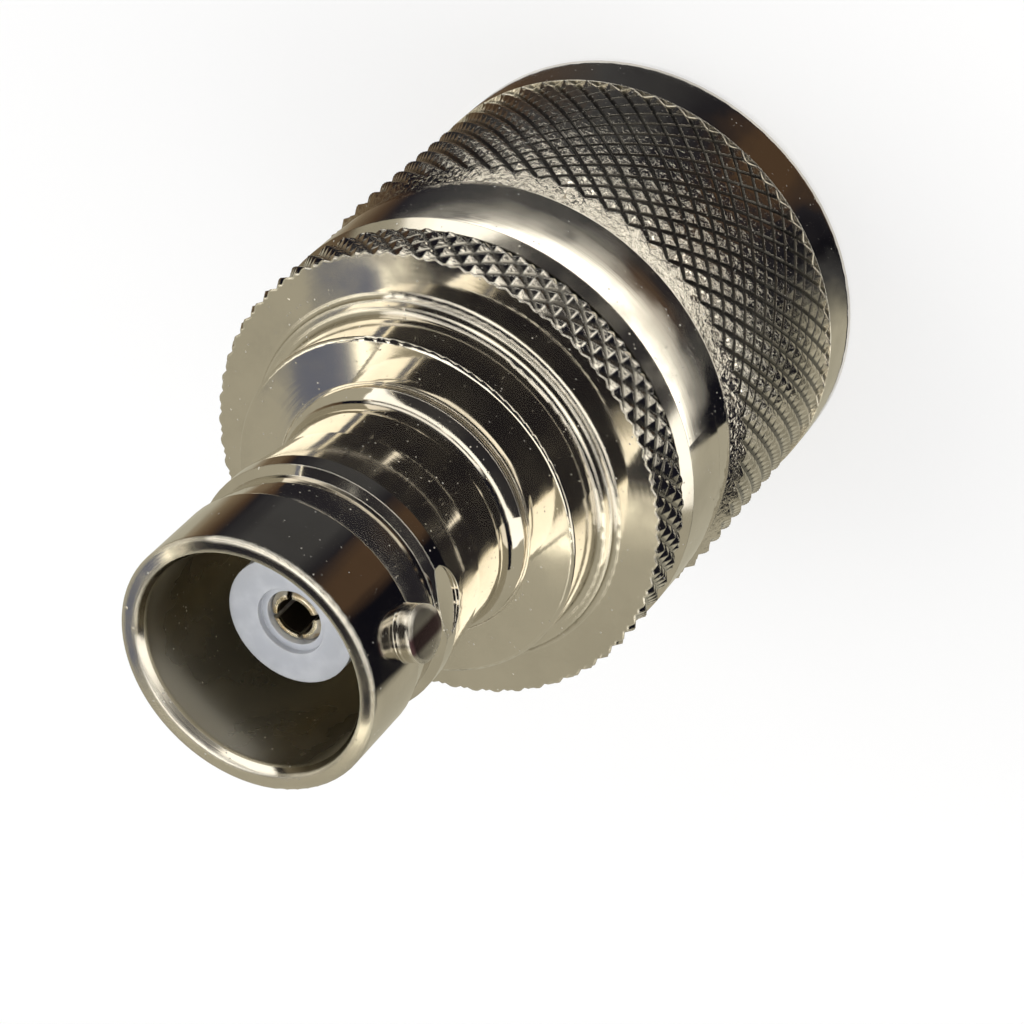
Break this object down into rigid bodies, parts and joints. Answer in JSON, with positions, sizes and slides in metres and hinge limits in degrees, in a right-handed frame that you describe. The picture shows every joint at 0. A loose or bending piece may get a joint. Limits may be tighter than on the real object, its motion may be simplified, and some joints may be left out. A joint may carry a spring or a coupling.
{
  "type": "bnc to uhf adapter",
  "caption": "Coaxial adapter with a bayonet jack at one end and a screw-on UHF plug with a knurled coupling nut at the other.",
  "frame": {"origin": "centre of the coupling nut's rim plane, on the common axis", "axes": "+Z along the common axis towards the mouth of the bayonet jack; the two bayonet studs lie on +X and -X"},
  "size_m": [0.0186, 0.0186, 0.0309],
  "materials": {
    "plated_shell": "bright nickel plating on turned brass",
    "plated_nut": "bright nickel plating on knurled brass",
    "insulator": "smooth white fluoropolymer",
    "contact_plating": "gold plated",
    "pin_plating": "nickel plated",
    "spring_steel": "plain spring wire, flattened"
  },
  "bodies": {
    "body": {"bnc_shell": "plated_shell", "bnc_insulator": "insulator", "bnc_contact": "contact_plating", "uhf_insulator": "insulator", "uhf_center_pin": "pin_plating", "uhf_ferrule": "plated_shell"},
    "retainer": {"snap_ring": "spring_steel"},
    "nut": {"coupling_nut": "plated_nut"}
  },
  "joints": [
    {"name": "nut_float", "type": "slide", "parent": "body", "child": "retainer", "axis": [0, 0, -1], "range_m": [0, 0.0009]},
    {"name": "nut_spin", "type": "hinge", "parent": "retainer", "child": "nut", "pos_m": [0, 0, 0.0076], "axis": [0, 0, 1], "continuous": true}
  ]
}
